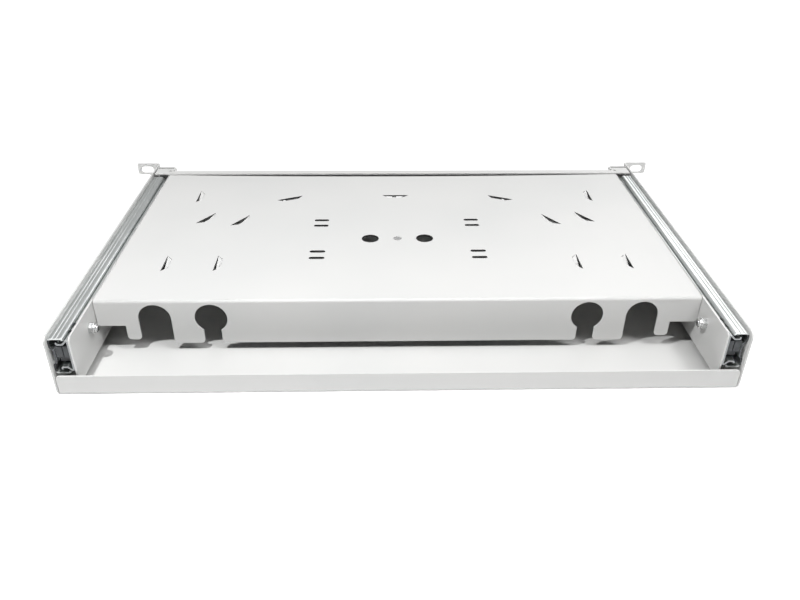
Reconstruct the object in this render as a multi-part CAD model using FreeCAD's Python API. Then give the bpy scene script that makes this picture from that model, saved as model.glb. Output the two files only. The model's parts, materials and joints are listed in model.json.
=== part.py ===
import FreeCAD, Part
import math
import os

from FreeCAD import Vector

# Fibre optic patch panel, one rack unit high, with a telescopic drawer.
# It stands as in the photograph: turned over, on its cover plate, rear edge towards -Y.
# Origin at the middle of the base on the standing surface, +Y to the front ears, +Z up.
# Y values below are measured from the rear edge of the chassis.

# Rack interface
EAR_SPAN = 482.6
EAR_HOLE_EDGE = 8.75
EAR_HOLE_SPACING_Z = 31.75
EAR_SLOT_WIDTH = 6.4
EAR_SLOT_LENGTH = 11.6
EAR_LUG_HEIGHT = 10.4
EAR_NECK_WIDTH = 8.0
EAR_REACH = 19.8

# Chassis
CHASSIS_HEIGHT = 43.6
CHASSIS_DEPTH = 292.0
SHEET = 1.2
BEND_INSIDE = 0.8
REAR_LIP_HEIGHT = 14.6
WALL_CORNER_RADIUS = 4.0
SEAM_GAP = 0.4

# Telescopic slides
SLIDE_FRONT_GAP = 29.0
SLIDE_HEIGHT = 27.0
SLIDE_THICKNESS = 12.7
SLIDE_SHEET = 1.1
SLIDE_REAR = 3.0
SLIDE_CENTRE_Z = 28.3
SLIDE_LIP_REACH = 10.0
SLIDE_CORNER = 2.6
SLIDE_BULGE = 2.0
SLIDE_BULGE_HEIGHT = 13.0
SLIDE_GROOVE = 0.35
SLIDE_GROOVES = (3.8, 6.3)
INNER_CREST = 11.5
CREST_BEND = 0.25
DRAWER_TRAVEL = 170.0

# Balls and their cage
BALL_RADIUS = 1.5
BALL_CLEARANCE = 0.12
BALL_PITCH = 6.6
BALLS_IN_ROW = 12
CAGE_SHEET = 0.4
CAGE_GAP = 0.4
CAGE_RIM = 0.5

# Slide fixings
RIVET_RADIUS = 2.0
RIVET_HEAD_RADIUS = 3.4
RIVET_HEAD_HEIGHT = 1.1
SLIDE_FIXING_INSET = 32.0
SLIDE_FIXING_COUNT = 3
CUP_RADIUS = 5.0
SCREW_RADIUS = 2.0
SCREW_HEAD_RADIUS = 3.6
SCREW_HEAD_HEIGHT = 2.0
SCREW_PROUD = 0.6
NUT_ACROSS_FLATS = 7.0
NUT_HEIGHT = 5.0
NUT_COLLAR = 1.7
FIT = 0.05

# Bumper block at the rear end of each slide
BUMPER_LENGTH = 9.0
BUMPER_HEIGHT = 8.2
BUMPER_RAISE = 2.6
BUMPER_FOOT = 5.6
BUMPER_RECESS = 4.0
BUMPER_SEAM = 0.6
RUNNING_GAP = 0.3

# Stop notches in the inner slide
STOP_NOTCHES = ((10.0, 2.4), (16.5, 4.0))
STOP_NOTCH_WIDTH = 2.4

# Drawer tray
TRAY_TOP = 41.4
TRAY_SIDE_BOTTOM = 6.2
SKIRT_Y = 47.0
SKIRT_BOTTOM = 7.4
TRAY_PLATE_GAP = 0.6
TRAY_PLATE_BOW = 4.4
TRAY_CORNER_RADIUS = 3.0
TRAY_FLANGE = 14.0

# Cable notches in the skirt
NOTCH_RADIUS = 11.1
NOTCH_CENTRE_Z = 27.2
U_NOTCH_INSET = 40.7
KEYHOLE_INSET = 78.7
KEYHOLE_NECK = 12.1
SKIRT_STEP_INSET = 20.3
SKIRT_STEP_BOTTOM = 21.9
SKIRT_TAB_BOTTOM = 10.6
SKIRT_FILLET = 2.6

# Holes in the tray floor
ROUND_HOLE_RADIUS = 6.6
ROUND_HOLE_X = 21.1
ROUND_HOLE_Y = 138.0
TIE_SLOT_X = 60.6
TIE_SLOT_LENGTH = 11.7
TIE_SLOT_WIDTH = 3.5
TIE_SLOT_ROWS = (106.7, 116.9, 161.1, 171.0)
GUIDE_LENGTH = 23.0
GUIDE_DEPTH = 4.3
GUIDE_TIP_LENGTH = 13.0
GUIDE_CUT = 0.3
GUIDE_DROP = 6.0
# Centre x, centre y and chord angle of each fibre guide on the +X side
GUIDES = (
    (170.0, 219.4, -90.0),
    (91.0, 215.8, -23.5),
    (155.4, 176.3, -56.5),
    (127.0, 171.8, -56.5),
    (171.0, 99.8, -90.0),
    (133.7, 99.5, -90.0),
)
GUIDE_MIDDLE_Y = 221.0

# Cassette stud
STUD_RADIUS = 2.5
STUD_LENGTH = 24.0
STUD_HEAD_RADIUS = 3.3

# Front panel
PANEL_SIDE_GAP = 0.8
PANEL_BOTTOM = 1.8
PANEL_TOP = 42.4
PANEL_SETBACK = 9.4
PANEL_STEP = 7.0
PANEL_END_INSET = 3.4
PANEL_END_TOP = 43.4
STRIP_WIDTH = 7.0
PANEL_TAB_HOLE_RADIUS = 1.5
PANEL_TAB_HOLE_OUT = 3.9
PANEL_TAB_HOLE_BACK = 0.6

# Adapter plates
PLATE_COUNT = 3
PLATE_MARGIN = 11.3
PLATE_GAP = 1.0
PLATE_HEIGHT = 33.0
PLATE_CENTRE_Z = 21.4
WINDOW_MARGIN = 6.3
WINDOW_HEIGHT = 25.0
PORTS_IN_PLATE = 8
PORT_MARGIN = 7.4
PORT_WIDTH = 9.8
PORT_HEIGHT = 13.4
PORT_HOLE_RADIUS = 1.2
PORT_HOLE_OFFSET = 9.0
PUSH_RIVET_RADIUS = 1.75
PUSH_RIVET_HEAD_RADIUS = 3.0
PUSH_RIVET_HEAD_HEIGHT = 1.2
PUSH_RIVET_TAIL = 4.0

# Front panel screws
PANEL_SCREW_RADIUS = 1.5
PANEL_SCREW_HEAD_RADIUS = 2.8
PANEL_SCREW_HEAD_HEIGHT = 1.9
PANEL_SCREW_INSET = 4.8
PANEL_SCREW_OFFSET = 11.5
PANEL_NUT_FLATS = 5.5
PANEL_NUT_HEIGHT = 2.4

# Latch
LATCH_OUT = 10.4
LATCH_Z = 9.2
LATCH_HOLE_RADIUS = 3.2
LATCH_FLANGE_RADIUS = 5.0
LATCH_FLANGE_HEIGHT = 1.2
LATCH_NOSE_RADIUS = 2.9
LATCH_PIN_RADIUS = 1.5
LATCH_PIN_FIT = 0.06
LATCH_KNOB_RADIUS = 4.4
LATCH_KNOB_LENGTH = 4.2
LATCH_STROKE = 5.0
LATCH_NOSE_LENGTH = 17.6
KEEPER_SETBACK = 14.2
KEEPER_THICKNESS = 1.5
KEEPER_WIDTH = 10.0
KEEPER_HEIGHT = 12.8
KEEPER_FOOT = 12.0
KEEPER_CLEARANCE = 0.4

# Worked out from the values above
CHASSIS_WIDTH = EAR_SPAN - 2 * EAR_REACH
EAR_HOLE_SPACING_X = EAR_SPAN - 2 * EAR_HOLE_EDGE
WALL_OUT = CHASSIS_WIDTH / 2
WALL_IN = WALL_OUT - SHEET
TRAY_OUT = WALL_IN - SLIDE_THICKNESS
TRAY_IN = TRAY_OUT - SHEET
BEND_OUT = BEND_INSIDE + SHEET
SLIDE_LENGTH = CHASSIS_DEPTH - SLIDE_FRONT_GAP - SLIDE_REAR
PANEL_END_Y = CHASSIS_DEPTH - PANEL_SETBACK
PANEL_FACE_Y = PANEL_END_Y - PANEL_STEP
PANEL_END_X = TRAY_IN - PANEL_END_INSET
STRIP_REAR = PANEL_FACE_Y - STRIP_WIDTH
TRAY_PLATE_END = STRIP_REAR - TRAY_PLATE_GAP
SKIRT_STEP_X = TRAY_OUT - SKIRT_STEP_INSET
U_NOTCH_X = TRAY_OUT - U_NOTCH_INSET
KEYHOLE_X = TRAY_OUT - KEYHOLE_INSET
PANEL_TAB_HOLE_X = PANEL_END_X + PANEL_TAB_HOLE_OUT
PANEL_TAB_HOLE_Y = PANEL_FACE_Y - PANEL_TAB_HOLE_BACK
PANEL_SCREW_X = PANEL_END_X - PANEL_SCREW_INSET
PLATE_PITCH = 2 * (PANEL_SCREW_X - PLATE_MARGIN) / PLATE_COUNT
PLATE_WIDTH = PLATE_PITCH - PLATE_GAP
WINDOW_WIDTH = PLATE_WIDTH - 2 * WINDOW_MARGIN
PORT_PITCH = (PLATE_WIDTH - 2 * PORT_MARGIN) / PORTS_IN_PLATE
LATCH_X = PANEL_END_X + LATCH_OUT
LATCH_NOSE_END = PANEL_END_Y - LATCH_NOSE_LENGTH
KEEPER_Y = PANEL_END_Y - KEEPER_SETBACK
KNOB_FRONT = PANEL_END_Y + LATCH_FLANGE_HEIGHT + RUNNING_GAP + LATCH_KNOB_LENGTH
MID_Y = max(CHASSIS_DEPTH, KNOB_FRONT) / 2
SLIDE_FRONT = SLIDE_REAR + SLIDE_LENGTH
HALF_SLIDE = SLIDE_HEIGHT / 2
BALL_Z = HALF_SLIDE - SLIDE_SHEET - BALL_CLEARANCE - BALL_RADIUS
BALL_U = SLIDE_LIP_REACH - SLIDE_SHEET - BALL_CLEARANCE - BALL_RADIUS
INNER_HALF = BALL_Z - BALL_RADIUS - BALL_CLEARANCE
INNER_WEB_U = SLIDE_THICKNESS - SLIDE_SHEET
CURL_U = BALL_U - BALL_RADIUS - BALL_CLEARANCE - SLIDE_SHEET
CURL_TOP = BALL_Z - CAGE_SHEET / 2 - RUNNING_GAP
CAGE_U = SLIDE_BULGE + SLIDE_SHEET + CAGE_GAP
CAGE_LENGTH = BALL_PITCH * BALLS_IN_ROW + 5.0
CAGE_REAR = SLIDE_REAR + SLIDE_LENGTH / 2 - CAGE_LENGTH / 2
TRAY_FLOOR = TRAY_TOP - SHEET
TRAY_FRONT = PANEL_FACE_Y - SHEET
PANEL_SCREW_Z = (PLATE_CENTRE_Z - PANEL_SCREW_OFFSET, PLATE_CENTRE_Z + PANEL_SCREW_OFFSET)
PANEL_OUT = WALL_IN - PANEL_SIDE_GAP


def place(shape):
    """Moves a shape from rear-edge Y to the part's own origin."""
    shape.translate(Vector(0, -MID_Y, 0))
    return shape


def box(x0, x1, y0, y1, z0, z1):
    low = Vector(min(x0, x1), min(y0, y1), min(z0, z1))
    return Part.makeBox(abs(x1 - x0), abs(y1 - y0), abs(z1 - z0), low)


def rod(point, axis, radius, length):
    return Part.makeCylinder(radius, length, Vector(*point), Vector(*axis))


def polygon(points):
    vectors = [Vector(*p) for p in points]
    return Part.Face(Part.makePolygon(vectors + [vectors[0]]))


def fuse(shapes):
    first = shapes[0]
    return first.multiFuse(shapes[1:]).removeSplitter()


def mirrored(shape):
    return shape.mirror(Vector(0, 0, 0), Vector(1, 0, 0))


def unit(a, b):
    length = math.hypot(b[0] - a[0], b[1] - a[1])
    return ((b[0] - a[0]) / length, (b[1] - a[1]) / length)


def skin(points, radii, shift):
    """Edges of a path with rounded corners, moved to its left by shift."""
    count = len(points)
    steps = [unit(points[i], points[i + 1]) for i in range(count - 1)]
    lefts = [(-s[1], s[0]) for s in steps]
    edges = []
    at = (points[0][0] + lefts[0][0] * shift, points[0][1] + lefts[0][1] * shift)
    for i in range(1, count - 1):
        before, after = steps[i - 1], steps[i]
        cross = before[0] * after[1] - before[1] * after[0]
        dot = before[0] * after[0] + before[1] * after[1]
        turn = math.atan2(cross, dot)
        side = 1 if turn > 0 else -1
        radius = radii[i - 1]
        reach = radius * math.tan(abs(turn) / 2)
        left = lefts[i - 1]
        start = (points[i][0] - before[0] * reach, points[i][1] - before[1] * reach)
        centre = (start[0] + left[0] * side * radius, start[1] + left[1] * side * radius)
        new_radius = radius - side * shift
        first = (centre[0] - left[0] * side * new_radius, centre[1] - left[1] * side * new_radius)
        left = lefts[i]
        last = (centre[0] - left[0] * side * new_radius, centre[1] - left[1] * side * new_radius)
        middle = unit(centre, ((first[0] + last[0]) / 2, (first[1] + last[1]) / 2))
        crown = (centre[0] + middle[0] * new_radius, centre[1] + middle[1] * new_radius)
        edges.append((at, first))
        edges.append((first, crown, last))
        at = last
    end = (points[-1][0] + lefts[-1][0] * shift, points[-1][1] + lefts[-1][1] * shift)
    edges.append((at, end))
    return edges


def sheet(points, radii, thickness, to_space, direction):
    """A bent sheet: a rounded path, thickened to its left, drawn along a direction."""
    near = skin(points, radii, 0.0)
    far = skin(points, radii, thickness)
    edges = []
    for item in near + far + [(near[0][0], far[0][0]), (near[-1][-1], far[-1][-1])]:
        spots = [Vector(*to_space(p)) for p in item]
        if len(spots) == 3:
            edges.append(Part.Arc(*spots).toShape())
        else:
            edges.append(Part.LineSegment(*spots).toShape())
    wire = Part.Wire(Part.__sortEdges__(edges))
    return Part.Face(wire).extrude(Vector(*direction))


def hexagon(point, flats, height, side):
    """A hexagonal prism along X, starting at the point and growing towards side."""
    corner = flats / 2 / math.cos(math.pi / 6)
    spots = []
    for i in range(6):
        angle = math.radians(60 * i + 30)
        spots.append((point[0], point[1] + corner * math.cos(angle), point[2] + corner * math.sin(angle)))
    return polygon(spots).extrude(Vector(side * height, 0, 0))


# Chassis shell

def ear_outline(side):
    """Cutting shape of one ear: neck beside the wall and two lugs with slots."""
    mid = CHASSIS_HEIGHT / 2
    inner = WALL_OUT - BEND_OUT - SHEET
    neck = WALL_OUT + EAR_NECK_WIDTH
    tip = EAR_SPAN / 2
    y0 = CHASSIS_DEPTH - BEND_OUT - SHEET - 1
    y1 = CHASSIS_DEPTH + 1
    body = box(side * inner, side * neck, y0, y1, 0, CHASSIS_HEIGHT)
    low = box(side * inner, side * tip, y0, y1, 0, EAR_LUG_HEIGHT)
    high = box(side * inner, side * tip, y0, y1, CHASSIS_HEIGHT - EAR_LUG_HEIGHT, CHASSIS_HEIGHT)
    shape = fuse([body, low, high])
    tips = []
    necks = []
    for edge in shape.Edges:
        a, b = edge.Vertexes[0].Point, edge.Vertexes[-1].Point
        if abs(a.x - b.x) > 0.01 or abs(a.z - b.z) > 0.01:
            continue
        if abs(abs(a.x) - tip) < 0.01:
            tips.append(edge)
        elif abs(abs(a.x) - neck) < 0.01 and abs(a.z - mid) < mid - 1:
            necks.append(edge)
    shape = shape.makeFillet(1.2, tips)
    necks = [e for e in shape.Edges
             if abs(abs(e.Vertexes[0].X) - neck) < 0.01 and abs(abs(e.Vertexes[-1].X) - neck) < 0.01
             and abs(e.Vertexes[0].Z - e.Vertexes[-1].Z) < 0.01 and abs(e.Vertexes[0].Z - mid) < mid - 1]
    return shape.makeFillet(3.0, necks)


def ear_slot(side, z):
    half = (EAR_SLOT_LENGTH - EAR_SLOT_WIDTH) / 2
    x = side * EAR_HOLE_SPACING_X / 2
    radius = EAR_SLOT_WIDTH / 2
    y = CHASSIS_DEPTH - SHEET - 1
    parts = [box(x - half, x + half, y, y + SHEET + 2, z - radius, z + radius)]
    for end in (-half, half):
        parts.append(rod((x + end, y, z), (0, 1, 0), radius, SHEET + 2))
    return fuse(parts)


def slide_fixing_places():
    first = SLIDE_REAR + SLIDE_FIXING_INSET
    last = SLIDE_FRONT - SLIDE_FIXING_INSET
    step = (last - first) / (SLIDE_FIXING_COUNT - 1)
    return [first + step * i for i in range(SLIDE_FIXING_COUNT)]


def chassis_shell():
    lip_end = WALL_IN - SEAM_GAP
    wall_end = CHASSIS_DEPTH - BEND_OUT
    section = [(-WALL_OUT, CHASSIS_HEIGHT), (-WALL_OUT, 0), (WALL_OUT, 0), (WALL_OUT, CHASSIS_HEIGHT)]
    trough = sheet(section, [BEND_OUT] * 2, SHEET, lambda p: (p[0], 0, p[1]), (0, wall_end, 0))
    trough = trough.cut(box(-lip_end, lip_end, -1, BEND_OUT, -1, REAR_LIP_HEIGHT + 1))
    # Relief between the rear lip and each wall, with the bottom corner taken off
    for side in (-1, 1):
        relief = box(side * lip_end, side * WALL_IN, -1, BEND_OUT + SEAM_GAP, -1, REAR_LIP_HEIGHT + 1)
        corner = polygon([(side * (WALL_OUT + 1), -1, -1), (side * (WALL_OUT - 3.2), -1, -1),
                          (side * (WALL_OUT + 1), -1, 3.2)]).extrude(Vector(0, BEND_OUT + SEAM_GAP + 1, 0))
        trough = trough.cut(relief).cut(corner)
    lip_path = [(0, REAR_LIP_HEIGHT), (0, 0), (BEND_OUT + SHEET, 0)]
    lip = sheet(lip_path, [BEND_OUT], SHEET,
                lambda p: (-lip_end, p[0], p[1]), (2 * lip_end, 0, 0))
    lip_corners = [e for e in lip.Edges if abs(e.Vertexes[0].Z - REAR_LIP_HEIGHT) < 0.01
                   and abs(e.Vertexes[-1].Z - REAR_LIP_HEIGHT) < 0.01
                   and abs(abs(e.Vertexes[0].X) - lip_end) < 0.01
                   and abs(abs(e.Vertexes[-1].X) - lip_end) < 0.01]
    lip = lip.makeFillet(2.5, [e for e in lip_corners if e.Length < 3])
    shell = fuse([trough, lip])
    wall_corners = [e for e in shell.Edges if abs(e.Length - SHEET) < 0.01
                    and abs(e.Vertexes[0].Y) < 0.01 and abs(e.Vertexes[0].Z - CHASSIS_HEIGHT) < 0.01
                    and abs(e.Vertexes[-1].Z - CHASSIS_HEIGHT) < 0.01]
    shell = shell.makeFillet(WALL_CORNER_RADIUS, wall_corners)
    pieces = [shell]
    for side in (-1, 1):
        path = [(side * WALL_OUT, wall_end - SHEET), (side * WALL_OUT, CHASSIS_DEPTH - SHEET),
                (side * EAR_SPAN / 2, CHASSIS_DEPTH - SHEET)]
        ear = sheet(path, [BEND_INSIDE], side * SHEET,
                    lambda p: (p[0], p[1], 0), (0, 0, CHASSIS_HEIGHT))
        ear = ear.common(ear_outline(side))
        for z in (-EAR_HOLE_SPACING_Z / 2, EAR_HOLE_SPACING_Z / 2):
            ear = ear.cut(ear_slot(side, CHASSIS_HEIGHT / 2 + z))
        pieces.append(ear)
    shell = fuse(pieces)
    for side in (-1, 1):
        for y in slide_fixing_places():
            shell = shell.cut(rod((side * (WALL_IN - 1), y, SLIDE_CENTRE_Z), (side, 0, 0),
                                  RIVET_RADIUS + FIT, SHEET + 2))
    return shell


# Slides, drawn on the +X side and mirrored

def on_slide(u, z):
    """From the distance off the chassis wall and the height about the slide's middle."""
    return (WALL_IN - u, SLIDE_CENTRE_Z + z)


def slide_sheet(path, radii, thickness, rear, length):
    return sheet(path, radii, thickness,
                 lambda p: (on_slide(*p)[0], rear, on_slide(*p)[1]), (0, length, 0))


def slide_rod(u, y, z, radius, length):
    """A rod across the slide from distance u off the wall, growing away from the wall."""
    return rod((WALL_IN - u, y, SLIDE_CENTRE_Z + z), (-1, 0, 0), radius, length)


def slide_outer():
    bulge_base = SLIDE_BULGE_HEIGHT / 2
    bulge_top = bulge_base - SLIDE_BULGE
    lip_end = BALL_Z + CAGE_SHEET / 2 + RUNNING_GAP
    upper = [(0.0, bulge_base), (0.0, HALF_SLIDE), (SLIDE_LIP_REACH, HALF_SLIDE), (SLIDE_LIP_REACH, lip_end)]
    path = [(u, -z) for u, z in reversed(upper)]
    path += [(SLIDE_BULGE, -bulge_top), (SLIDE_BULGE, bulge_top)] + upper
    lip_corner = SLIDE_SHEET + 0.5
    radii = [lip_corner, SLIDE_CORNER, 1.5, 1.5, 1.5, 1.5, SLIDE_CORNER, lip_corner]
    body = slide_sheet(path, radii, -SLIDE_SHEET, SLIDE_REAR, SLIDE_LENGTH)
    for y in slide_fixing_places():
        cup = slide_rod(0, y, 0, CUP_RADIUS, SLIDE_BULGE + SLIDE_SHEET)
        hollow = slide_rod(SLIDE_SHEET, y, 0, CUP_RADIUS - SLIDE_SHEET, SLIDE_BULGE + 1)
        body = body.cut(slide_rod(0, y, 0, CUP_RADIUS - SLIDE_SHEET / 2, SLIDE_BULGE + SLIDE_SHEET + 1))
        body = fuse([body, cup.cut(hollow)])
        body = body.cut(slide_rod(0, y, 0, RIVET_RADIUS + FIT, SLIDE_BULGE + SLIDE_SHEET))
    for u in SLIDE_GROOVES:
        for side in (-1, 1):
            x, z = on_slide(u, side * (HALF_SLIDE + SLIDE_GROOVE))
            body = body.cut(rod((x, SLIDE_REAR - 1, z), (0, 1, 0), 2 * SLIDE_GROOVE, SLIDE_LENGTH + 2))
    return body


def headed_pin(outer_u, head_radius, head_height, shank_radius, shank_length, y, direction):
    """A pin across the slide: head outside the face at outer_u, shank along direction."""
    x = WALL_IN - outer_u
    head = rod((x, y, SLIDE_CENTRE_Z), (-direction, 0, 0), head_radius, head_height)
    shank = rod((x, y, SLIDE_CENTRE_Z), (direction, 0, 0), shank_radius, shank_length)
    pin = fuse([head, shank])
    rim_x = x - direction * head_height
    rims = [e for e in pin.Edges if len(e.Vertexes) == 1 and abs(e.Vertexes[0].X - rim_x) < 0.01
            and abs(e.Length - 2 * math.pi * head_radius) < 0.01]
    return pin.makeFillet(head_height * 0.6, rims)


def slide_rivets():
    """Blind rivets through the chassis wall, set inside the cups of the outer slide."""
    rivets = []
    grip = SHEET + SLIDE_SHEET
    for y in slide_fixing_places():
        outside = headed_pin(-SHEET, RIVET_HEAD_RADIUS, RIVET_HEAD_HEIGHT, RIVET_RADIUS, grip, y, -1)
        inside = headed_pin(SLIDE_SHEET, RIVET_HEAD_RADIUS, RIVET_HEAD_HEIGHT, RIVET_RADIUS, grip, y, 1)
        rivets.append(fuse([outside, inside]))
    return Part.makeCompound(rivets)


def slide_inner():
    """Inner member: a crest beside the tray wall slopes down to the race on each edge."""
    flat = INNER_HALF - SLIDE_SHEET
    crest = INNER_CREST - SLIDE_SHEET - CREST_BEND + CREST_BEND * math.tan(math.radians(67.5))
    foot = INNER_WEB_U - (crest - flat)
    path = [(CURL_U, -CURL_TOP), (CURL_U, -flat), (foot, -flat), (INNER_WEB_U, -crest),
            (INNER_WEB_U, crest), (foot, flat), (CURL_U, flat), (CURL_U, CURL_TOP)]
    radii = [SLIDE_SHEET + 0.2, SLIDE_SHEET + 0.2, CREST_BEND, CREST_BEND, SLIDE_SHEET + 0.2, SLIDE_SHEET + 0.2]
    body = slide_sheet(path, radii, -SLIDE_SHEET, SLIDE_REAR, SLIDE_LENGTH)
    for y in slide_fixing_places():
        body = body.cut(slide_rod(INNER_WEB_U - 1, y, 0, SCREW_RADIUS + FIT, SLIDE_SHEET + 2))
    for start, length in STOP_NOTCHES:
        x, z = on_slide(INNER_WEB_U + 0.2, INNER_CREST)
        y = SLIDE_REAR + start
        body = body.cut(box(x, x + STOP_NOTCH_WIDTH, y, y + length, z - 2 * SLIDE_SHEET, z + 1))
    return body


def slide_bumper():
    """Plastic block on the outer slide that takes the inner slide when the drawer shuts."""
    base = SLIDE_BULGE + SLIDE_SHEET
    top = INNER_WEB_U - RUNNING_GAP
    x0, z0 = on_slide(base, BUMPER_RAISE - BUMPER_HEIGHT / 2)
    x1 = on_slide(top, 0)[0]
    y0 = SLIDE_REAR + 1.0
    block = box(x1, x0, y0, y0 + BUMPER_LENGTH, z0, z0 + BUMPER_HEIGHT)
    block = block.makeFillet(0.8, [e for e in block.Edges if abs(e.Vertexes[0].X - x1) < 0.01
                                   and abs(e.Vertexes[-1].X - x1) < 0.01])
    seam_x = x1 + (x0 - x1) * 0.4
    seam = box(seam_x, seam_x + BUMPER_SEAM, y0 - 1, y0 + 1.2, z0 - 1, z0 + BUMPER_HEIGHT + 1)
    block = block.cut(seam)
    foot = box(x1 + 0.8, x0, y0 + BUMPER_RECESS, y0 + BUMPER_LENGTH, z0 - BUMPER_FOOT, z0)
    return fuse([block, foot])


def cage_ball_places():
    first = CAGE_REAR + (CAGE_LENGTH - BALL_PITCH * (BALLS_IN_ROW - 1)) / 2
    return [first + BALL_PITCH * i for i in range(BALLS_IN_ROW)]


def ball_cage():
    """Retainer strip with two rows of ball holes, between the two slide members."""
    tip = BALL_U + BALL_RADIUS + CAGE_RIM
    arm = BALL_Z + CAGE_SHEET / 2
    path = [(tip, -arm), (CAGE_U, -arm), (CAGE_U, arm), (tip, arm)]
    body = slide_sheet(path, [0.8, 0.8], -CAGE_SHEET, CAGE_REAR, CAGE_LENGTH)
    for y in cage_ball_places():
        x, z = on_slide(BALL_U, -BALL_Z - 1)
        body = body.cut(rod((x, y, z), (0, 0, 1), BALL_RADIUS + FIT, 2 * BALL_Z + 2))
    return body


def slide_balls():
    balls = []
    for y in cage_ball_places():
        for side in (-1, 1):
            x, z = on_slide(BALL_U, side * BALL_Z)
            balls.append(Part.makeSphere(BALL_RADIUS, Vector(x, y, z)))
    return Part.makeCompound(balls)


def slide_screws():
    """Pan head screws from inside the slide, through inner member and tray wall."""
    length = SLIDE_SHEET + SHEET + NUT_HEIGHT + SCREW_PROUD
    return Part.makeCompound([
        headed_pin(INNER_WEB_U, SCREW_HEAD_RADIUS, SCREW_HEAD_HEIGHT, SCREW_RADIUS, length, y, -1)
        for y in slide_fixing_places()])


def slide_nuts():
    """Lock nuts on the inner face of the tray wall: hexagon below, round collar above."""
    nuts = []
    for y in slide_fixing_places():
        spot = (TRAY_IN, y, SLIDE_CENTRE_Z)
        body = hexagon(spot, NUT_ACROSS_FLATS, NUT_HEIGHT - NUT_COLLAR, -1)
        collar = rod(spot, (-1, 0, 0), NUT_ACROSS_FLATS / 2 - 0.3, NUT_HEIGHT)
        nut = fuse([body, collar])
        end = TRAY_IN - NUT_HEIGHT
        rims = [e for e in nut.Edges if len(e.Vertexes) == 1 and abs(e.Vertexes[0].X - end) < 0.01]
        nut = nut.makeFillet(0.7, rims)
        bore = rod((TRAY_IN + 1, y, SLIDE_CENTRE_Z), (-1, 0, 0), SCREW_RADIUS + FIT, NUT_HEIGHT + 2)
        nuts.append(nut.cut(bore))
    return Part.makeCompound(nuts)


# Drawer tray

def keyhole(x):
    """Cutting shape of a keyhole notch, open at the skirt's lower edge."""
    y = SKIRT_Y - 1
    depth = SHEET + 2
    circle = rod((x, y, NOTCH_CENTRE_Z), (0, 1, 0), NOTCH_RADIUS, depth)
    neck = box(x - KEYHOLE_NECK / 2, x + KEYHOLE_NECK / 2, y, y + depth, SKIRT_BOTTOM - 1, NOTCH_CENTRE_Z)
    return fuse([circle, neck])


def u_notch(x):
    y = SKIRT_Y - 1
    depth = SHEET + 2
    circle = rod((x, y, NOTCH_CENTRE_Z), (0, 1, 0), NOTCH_RADIUS, depth)
    leg = box(x - NOTCH_RADIUS, x + NOTCH_RADIUS, y, y + depth, SKIRT_BOTTOM - 1, NOTCH_CENTRE_Z)
    return fuse([circle, leg])


def skirt():
    """Rear wall of the drawer with its cable notches, bent from the floor."""
    end = TRAY_IN - SEAM_GAP
    path = [(SKIRT_Y + BEND_OUT + SHEET, TRAY_TOP), (SKIRT_Y, TRAY_TOP), (SKIRT_Y, SKIRT_BOTTOM)]
    wall = sheet(path, [BEND_OUT], SHEET, lambda p: (-end, p[0], p[1]), (2 * end, 0, 0))
    y0, y1 = SKIRT_Y - 1, SKIRT_Y + SHEET + 1
    for side in (-1, 1):
        wall = wall.cut(box(side * SKIRT_STEP_X, side * (end + 1), y0, y1, 0, SKIRT_STEP_BOTTOM))
        tab_in = U_NOTCH_X
        wall = wall.cut(box(side * tab_in, side * (SKIRT_STEP_X + 1), y0, y1, 0, SKIRT_TAB_BOTTOM))
        wall = wall.cut(u_notch(side * U_NOTCH_X)).cut(keyhole(side * KEYHOLE_X))
    corners = []
    for edge in wall.Edges:
        a, b = edge.Vertexes[0].Point, edge.Vertexes[-1].Point
        across = abs(a.x - b.x) < 0.01 and abs(a.z - b.z) < 0.01 and abs(abs(a.y - b.y) - SHEET) < 0.01
        low = abs(a.z - SKIRT_BOTTOM) < 0.01 or abs(a.z - SKIRT_TAB_BOTTOM) < 0.01
        outer = abs(a.z - SKIRT_STEP_BOTTOM) < 0.01 and abs(abs(a.x) - end) < 0.01
        if across and (low or outer) and abs(a.y - SKIRT_Y) < SHEET + 0.01:
            corners.append(edge)
    return wall.makeFillet(SKIRT_FILLET, corners)


def tie_slot(x, y):
    half = (TIE_SLOT_LENGTH - TIE_SLOT_WIDTH) / 2
    z = TRAY_FLOOR - 1
    height = SHEET + 2
    parts = [box(x - half, x + half, y - TIE_SLOT_WIDTH / 2, y + TIE_SLOT_WIDTH / 2, z, z + height)]
    for end in (-half, half):
        parts.append(rod((x + end, y, z), (0, 0, 1), TIE_SLOT_WIDTH / 2, height))
    return fuse(parts)


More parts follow.
